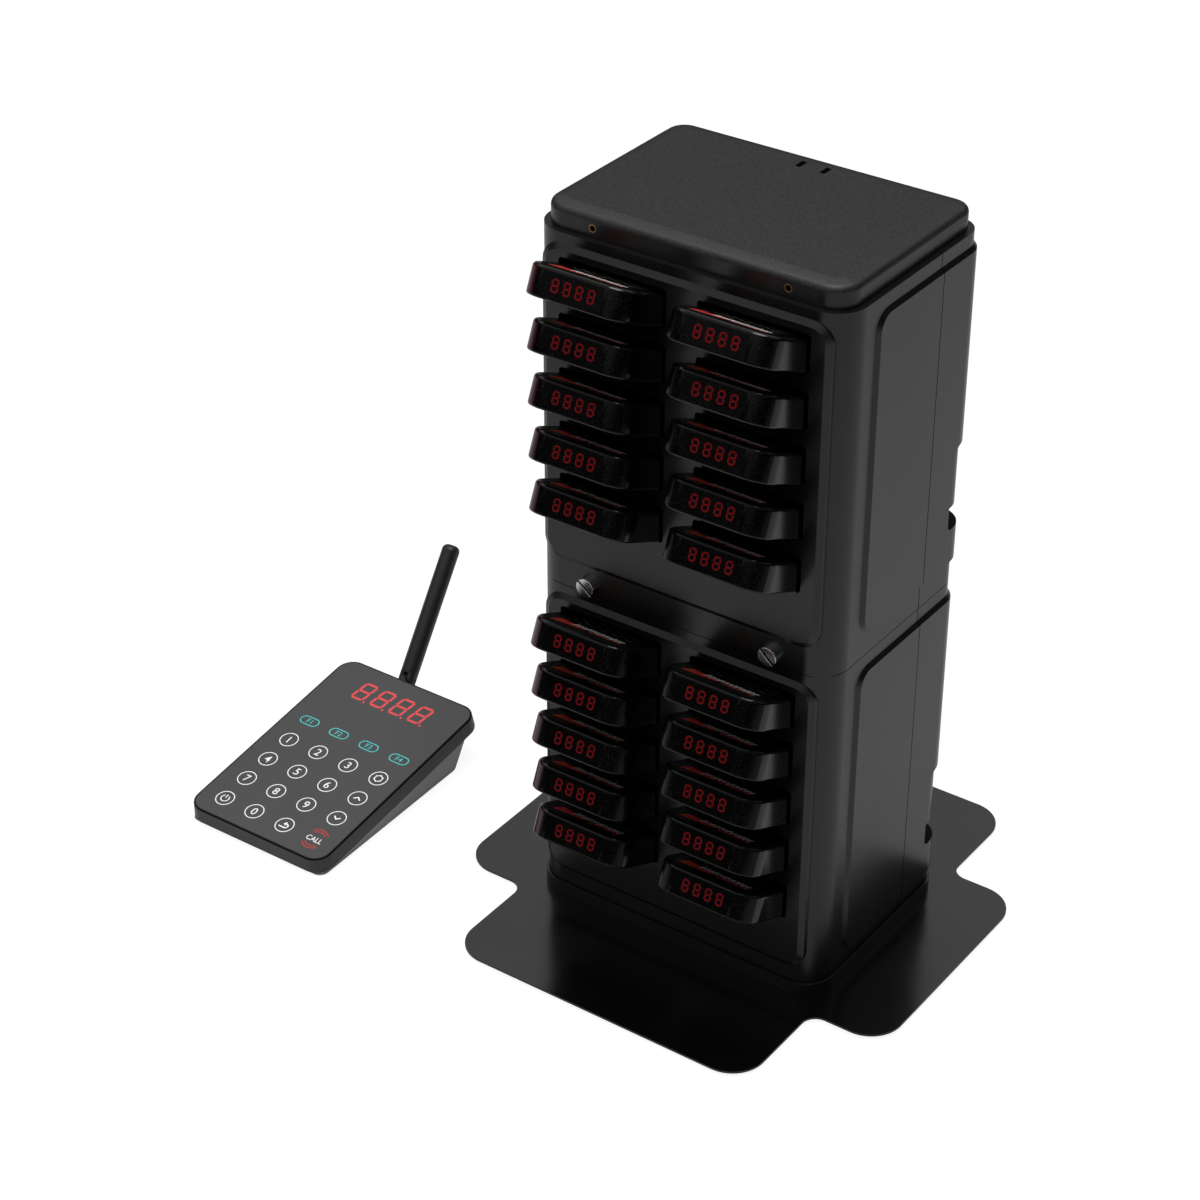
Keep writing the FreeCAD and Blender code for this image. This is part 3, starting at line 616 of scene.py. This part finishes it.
def pagerLabel():
    half, front = pager["labelWidth"] / 2, -pager["reach"] + pager["labelFront"]
    back, radius = front + pager["labelDepth"], pager["labelRound"]
    corners = [(-half, front, radius), (half, front, radius), (half, back, radius), (-half, back, radius)]
    label = plateShape(corners, 0, pager["labelThick"], 5)
    art = labelArt["wedge"]
    for step in range(art["count"]):
        size = art["width"] - step * art["thin"], art["depth"] - step * art["shrink"]
        spot = art["x"] + step * art["pitch"], front + art["y"] - step * art["fall"]
        joinInto(label, flatBar(*spot, *size, art["thick"], art["lean"]), 1)
    art = labelArt["slashes"]
    for step in range(art["count"]):
        size = art["width"], art["depth"] - (step % 3) * art["uneven"]
        spot = art["x"] + step * art["pitch"], front + art["y"] - step * art["fall"]
        joinInto(label, flatBar(*spot, *size, art["thick"], art["lean"]), 2)
    art = labelArt["dashes"]
    for step in range(art["count"]):
        spot = art["x"] + step * art["pitch"], front + art["y"] + (step % 2) * art["lift"]
        joinInto(label, flatBar(*spot, art["width"], art["depth"], art["thick"], art["lean"]), 1)
    art = labelArt["flecks"]
    for step in range(art["count"]):
        across, along = (step * art["pitch"]) % art["span"], (step * art["rise"]) % art["reach"]
        spot = art["x"] + across, front + art["y"] + along
        joinInto(label, flatBar(*spot, art["width"], art["depth"], art["thick"], art["lean"]), 3)
    bmesh.ops.translate(label, vec=(0, 0, pager["thickness"] / 2 * mm), verts=label.verts)
    return label


caseMesh, windowMesh, digitMesh, labelMesh = pagerCase(), windowShape(), pagerDigits(), pagerLabel()
for number in range(1, 21):
    body = "pager_%02d" % number
    place = pagerPlace(body + "_case")
    made = []
    # Pagers in the left column get the painted red reflection on their left corner
    corner = "flashCorner" if place.translation.x < 0 else "pagerFace"
    for part, shape, finish, slotName in (
            ("case_shape", caseMesh, ("pagerCase", "pagerFace", "pagerTop", corner), "pager_case"),
            ("window_shape", windowMesh, "window", "pager_window"),
            ("digits", digitMesh, "pagerRed", "pager_window"),
            ("label", labelMesh, ("label", "labelRed", "labelWhite", "labelDim"), "pager_case")):
        piece = newPiece(body + "_" + part, shape.copy(), place)
        dress(piece, body, finish)
        made.append(piece)
    smoothed(made[0])
    smoothed(made[1])
    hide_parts(body + "_case")
    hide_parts(body + "_window")
for shape in (caseMesh, windowMesh, digitMesh, labelMesh):
    shape.free()
print("pagers: 20")


# Transmitter

keypad = {
    "x": -228.3, "frontY": -124.9, "lift": 1.3, "tilt": 8.3, "top": 9.5, "ink": 0.03, "rimRadius": 0.75,
    "columns": (-31.1, -10.1, 11.2, 32.5), "rows": (86.7, 68.8, 50.6, 32.6, 14.2),
    "middleY": 70.5, "ringRadius": 5.2, "ringWidth": 0.55, "digitHeight": 5.2,
    "pillWidth": 11.9, "pillHeight": 5.9, "pillLine": 0.6, "pillShift": 0.2, "pillEnd": 0.35,
    "letterHeight": 3.5, "numberHeavy": 0.05, "letterHeavy": 0.02, "callHeavy": 0.06,
    "callShift": -0.1, "callDrop": 0.5, "callHeight": 3.6, "callStretch": 0.88, "arcRadii": (5.35, 7.1),
    "arcWidth": 0.85, "arcStarts": (44, 224), "arcSweep": 92,
    "displayX": 0.55, "displayY": 121.7, "digitPitch": 13.3, "displayWidth": 9.2, "displayHeight": 14.6,
    "displayStroke": 1.55, "displayGap": 0.25, "displayLean": 0.12, "pointX": 5.0, "pointRadius": 0.75,
}
keypadPlace = moved(keypad["x"], keypad["frontY"], keypad["lift"]) @ turned(keypad["tilt"], "X")


def roundRim(shape):
    # The slab's outer top edge is rounded well before its other edges are eased
    back = keypadPlace.inverted()
    facing = back.to_3x3()
    centre = Vector((0, keypad["middleY"] * mm, 0))
    top, near = keypad["top"] * mm, 0.02 * mm
    rimEdges = []
    for edge in sharpEdges(shape, 28):
        spots = [back @ v.co for v in edge.verts]
        outward = spots[0] - centre
        sides = [facing @ face.normal for face in edge.link_faces]
        atTop = all(abs(spot.z - top) < near for spot in spots)
        if atTop and any(n.z < 0.5 and n.dot(outward) > 0 for n in sides):
            rimEdges.append(edge)
    made = rounded(shape, rimEdges, keypad["rimRadius"], 4)
    for face in made:
        face.material_index = 1
    return set(made)


refined("transmitter_upper_case", 0.15, "transmitter", ("slab", "slabEdge"), angle=34,
        shaping=roundRim)
refined("transmitter_lower_case", 0.4, "transmitter", "wedge")
refined("transmitter_touch_panel", 0.2, "transmitter", "touchPanel")
refined("transmitter_feet", 0.1, "transmitter", "rubber")
refined("antenna_base", 0.2, "antenna_coupling", "antenna")
refined("antenna_whip", 0.5, "antenna", "antenna", 3)


def ring(radius, width, sides=40, start=0.0, sweep=360.0):
    # A flat ring or arc, from a short radial edge spun round
    shape = bmesh.new()
    inner, outer = (radius - width / 2) * mm, (radius + width / 2) * mm
    edge = shape.edges.new([shape.verts.new((inner, 0, 0)), shape.verts.new((outer, 0, 0))])
    bmesh.ops.spin(shape, geom=[edge, *edge.verts], cent=(0, 0, 0), axis=(0, 0, 1), angle=radians(sweep),
                   steps=sides, use_merge=sweep == 360.0)
    bmesh.ops.transform(shape, matrix=turned(start, "Z"), verts=shape.verts)
    return shape


def lettering(text, height, stretch, heavy):
    # A word or number as flat faces, centred on its middle; its capitals take the given height
    capitals = 0.72
    curve = bpy.data.curves.new("lettering", "FONT")
    curve.body = text
    curve.size = height * mm / capitals
    curve.offset = heavy * mm
    curve.align_x = "CENTER"
    curve.resolution_u = 4
    holder = bpy.data.objects.new("lettering", curve)
    bpy.context.scene.collection.objects.link(holder)
    bpy.context.view_layer.update()
    mesh = bpy.data.meshes.new_from_object(holder.evaluated_get(bpy.context.evaluated_depsgraph_get()))
    bpy.data.objects.remove(holder)
    shape = bmesh.new()
    shape.from_mesh(mesh)
    bpy.data.meshes.remove(mesh)
    bmesh.ops.remove_doubles(shape, verts=shape.verts, dist=1e-7)
    xs, ys = [v.co.x for v in shape.verts], [v.co.y for v in shape.verts]
    centre = Vector(((min(xs) + max(xs)) / 2, (min(ys) + max(ys)) / 2, 0))
    bmesh.ops.translate(shape, vec=-centre, verts=shape.verts)
    bmesh.ops.scale(shape, vec=(stretch, 1, 1), verts=shape.verts)
    return shape


def strip(points, width):
    # A flat line of even width through the given points, from bars that overlap at the corners
    shape = bmesh.new()
    for (x0, y0), (x1, y1) in zip(points, points[1:]):
        length = hypot(x1 - x0, y1 - y0)
        bar = bmesh.new()
        bmesh.ops.create_grid(bar, x_segments=1, y_segments=1, size=0.5)
        bmesh.ops.scale(bar, vec=((length + width) * mm, width * mm, 1), verts=bar.verts)
        place = moved((x0 + x1) / 2, (y0 + y1) / 2) @ Matrix.Rotation(atan2(y1 - y0, x1 - x0), 4, "Z")
        bmesh.ops.transform(bar, matrix=place, verts=bar.verts)
        joinInto(shape, bar)
    return shape


def printed(name, shapes, finish):
    # Flat shapes, each with the place of its middle on the panel, as one thin printed piece
    whole = bmesh.new()
    for shape, x, y in shapes:
        bmesh.ops.recalc_face_normals(shape, faces=shape.faces)
        thicken(shape, keypad["ink"])
        bmesh.ops.translate(shape, vec=(x * mm, y * mm, keypad["top"] * mm), verts=shape.verts)
        joinInto(whole, shape)
    piece = newPiece("transmitter_" + name, whole, keypadPlace)
    return dress(piece, "transmitter", finish)


columns, rows = keypad["columns"], keypad["rows"]
keys = {"0": (columns[1], rows[4])}
for digit in range(9):
    keys[str(digit + 1)] = (columns[digit % 3], rows[1 + digit // 3])
gear, up, down = [(columns[3], rows[row]) for row in (1, 2, 3)]
power, undo = (columns[0], rows[4]), (columns[2], rows[4])

# Each stroke of the signs: its shape and where it stands from its key's middle
nut = [(2.5 * cos(radians(60 * i + 30)), 2.5 * sin(radians(60 * i + 30))) for i in range(7)]
signs = (
    (gear, strip(nut, 0.6), 0, 0),
    (up, strip([(-1.8, -0.7), (0, 0.75), (1.8, -0.7)], 0.8), 0, 0),
    (down, strip([(-1.8, 0.7), (0, -0.75), (1.8, 0.7)], 0.8), 0, 0),
    (power, ring(2.4, 0.6, 24, 125, 290), 0, 0),
    (power, strip([(0, 0.5), (0, 2.5)], 0.6), 0, 0),
    (undo, strip([(-2.4, -1.7), (1.0, -1.7)], 0.8), 0, 0),
    (undo, ring(1.35, 0.8, 14, -90, 180), 1.0, -0.35),
    (undo, strip([(1.0, 1.0), (-0.4, 1.0)], 0.8), 0, 0),
    (undo, strip([(0.2, 1.9), (-0.6, 1.0), (0.2, 0.1)], 0.7), 0, 0),
)
rings = [(ring(keypad["ringRadius"], keypad["ringWidth"]), *spot)
         for spot in (*keys.values(), gear, up, down, power, undo)]
printed("key_rings", rings, "whitePrint")
numbers = [(lettering(text, keypad["digitHeight"], 1.0, keypad["numberHeavy"]), *spot)
           for text, spot in keys.items()]
printed("key_numbers", numbers, "whitePrint")
printed("key_marks", [(shape, key[0] + x, key[1] + y) for key, shape, x, y in signs], "whitePrint")


def pill():
    # A flat outline with round ends
    straight, half = (keypad["pillWidth"] - keypad["pillHeight"]) / 2, keypad["pillHeight"] / 2
    line, reach = keypad["pillLine"], straight - keypad["pillEnd"]
    outline = bmesh.new()
    for side, start in ((1, -90), (-1, 90)):
        end = ring(half, line, 16, start, 180)
        bmesh.ops.translate(end, vec=(side * straight * mm, 0, 0), verts=end.verts)
        joinInto(outline, end)
    for y in (half, -half):
        joinInto(outline, strip([(-reach, y), (reach, y)], line))
    return outline


pills = []
for column, text in zip(columns, ("F1", "F2", "F3", "F4")):
    spot = column + keypad["pillShift"], rows[0]
    pills.append((pill(), *spot))
    pills.append((lettering(text, keypad["letterHeight"], 1.0, keypad["letterHeavy"]), *spot))
printed("function_keys", pills, "tealPrint")
callX, callY = columns[3] + keypad["callShift"], rows[4]
word = lettering("CALL", keypad["callHeight"], keypad["callStretch"], keypad["callHeavy"])
printed("call_word", [(word, callX, callY - keypad["callDrop"])], "whitePrint")
arcs = [(ring(radius, keypad["arcWidth"], 16, start, keypad["arcSweep"]), callX, callY)
        for radius in keypad["arcRadii"] for start in keypad["arcStarts"]]
printed("call_arcs", arcs, "redPrint")
display = []
for place in (-1.5, -0.5, 0.5, 1.5):
    x, y = keypad["displayX"] + place * keypad["digitPitch"], keypad["displayY"]
    digit = eight(keypad["displayWidth"], keypad["displayHeight"], keypad["displayStroke"],
                  keypad["displayGap"], 0.0001, keypad["displayLean"])
    unseen = [face for face in digit.faces if face.normal.z < 0.5]
    bmesh.ops.delete(digit, geom=unseen, context="FACES")
    display.append((digit, x, y))
    point = bmesh.new()
    bmesh.ops.create_circle(point, cap_ends=True, segments=12, radius=keypad["pointRadius"] * mm)
    display.append((point, x + keypad["pointX"], y - keypad["displayHeight"] / 2))
printed("display", display, "displayRed")
print("transmitter print: done")


# Camera, light and floor

camera = {"place": (659.9, -1058.5, 962.2), "azimuth": 35.298, "elevation": 32.232, "roll": 0.1,
          "focal": 88.834, "sensor": 36.0, "reach": 20.0}
# The sky's brightness by height, a soft box's brightness by height, and how both change round the object
studio = {
    "sky": ((0.0, 0.02), (0.3, 0.03), (0.44, 0.22), (0.52, 0.64), (0.66, 0.85), (0.8, 0.35), (0.9, 0.13),
            (1.0, 0.12)),
    "box": ((0.26, 0.0), (0.33, 0.6), (0.42, 0.6), (0.48, 0.0)),
    "right": {"From Min": 0.1, "From Max": 0.45, "To Min": 1.0, "To Max": 0.22},
    "front": {"From Min": -0.3, "From Max": -0.6, "To Min": 0.0, "To Max": 1.0},
    "lampPlace": (0.0, -0.1, 1.9), "lampAim": (0, 0, 0.1), "lampSize": 1.1, "lampPower": 20,
    "floorHalf": 6.0, "floorTone": 0.74, "floorGlow": 1.25, "floorSeen": 0.72, "floorMirrored": 0.12,
}

eye = bpy.data.cameras.new("camera")
eye.lens = camera["focal"]
eye.sensor_width = camera["sensor"]
eye.clip_end = camera["reach"]
viewer = bpy.data.objects.new("camera", eye)
aim = turned(camera["azimuth"], "Z") @ turned(90 - camera["elevation"], "X") @ turned(camera["roll"], "Z")
viewer.matrix_world = moved(*camera["place"]) @ aim
bpy.context.scene.collection.objects.link(viewer)
bpy.context.scene.camera = viewer


def overheadLamp():
    light = bpy.data.lights.new("overhead", "AREA")
    light.size = studio["lampSize"]
    light.energy = studio["lampPower"]
    holder = bpy.data.objects.new("overhead", light)
    holder.location = studio["lampPlace"]
    toFloor = Vector(studio["lampAim"]) - Vector(studio["lampPlace"])
    holder.rotation_euler = toFloor.to_track_quat("-Z", "Y").to_euler()
    bpy.context.scene.collection.objects.link(holder)


def studioWorld():
    # A soft sky by height, dimmer on the right, with a soft box ahead; the camera sees plain white
    world = bpy.data.worlds.new("studio")
    world.use_nodes = True
    bpy.context.scene.world = world
    sky = ShaderTree(world.node_tree)
    way = sky.add("ShaderNodeSeparateXYZ", None, {"Vector": sky.add("ShaderNodeTexCoord")["Generated"]})
    above = sky.add("ShaderNodeValToRGB", {"stops": studio["sky"]}, {"Fac": way["Z"]})["Color"]
    box = sky.add("ShaderNodeValToRGB", {"stops": studio["box"]}, {"Fac": way["Z"]})["Color"]
    right = sky.add("ShaderNodeMapRange", None, {"Value": way["X"], **studio["right"]})["Result"]
    front = sky.add("ShaderNodeMapRange", None, {"Value": way["Y"], **studio["front"]})["Result"]
    seen = sky.add("ShaderNodeLightPath")["Is Camera Ray"]
    back = sky.nodes["Background"]
    sky.feed(back.inputs["Color"], (1, 1, 1))
    sky.feed(back.inputs["Strength"], (above * right + box * front) * (1 - seen) + seen)


def floorPiece():
    # White for the camera and in reflections, with the object's shadow kept
    shape = bmesh.new()
    bmesh.ops.create_grid(shape, x_segments=1, y_segments=1, size=studio["floorHalf"])
    floor = newPiece("floor", shape)
    finish = Finish("floorWhite")
    finish.set(Base_Color=(studio["floorTone"],) * 3, Roughness=0.9, Specular_IOR_Level=0.0)
    rays = finish.add("ShaderNodeLightPath")
    mirrored = rays["Is Glossy Ray"] + rays["Is Transmission Ray"]
    seen = rays["Is Camera Ray"] * studio["floorSeen"] + mirrored * studio["floorMirrored"]
    white = {"Color": (1, 1, 1), "Strength": studio["floorGlow"]}
    glow = finish.add("ShaderNodeEmission", None, white)["Emission"]
    lit = Signal(finish, finish.surface.outputs["BSDF"])
    mixed = finish.add("ShaderNodeMixShader", None, {0: seen, 1: lit, 2: glow})["Shader"]
    finish.feed(finish.nodes["Material Output"].inputs["Surface"], mixed)
    floor.data.materials.append(finish.material)


studioWorld()
floorPiece()
overheadLamp()
bpy.context.scene.view_settings.view_transform = "Standard"
print("camera, lamp and floor: done")
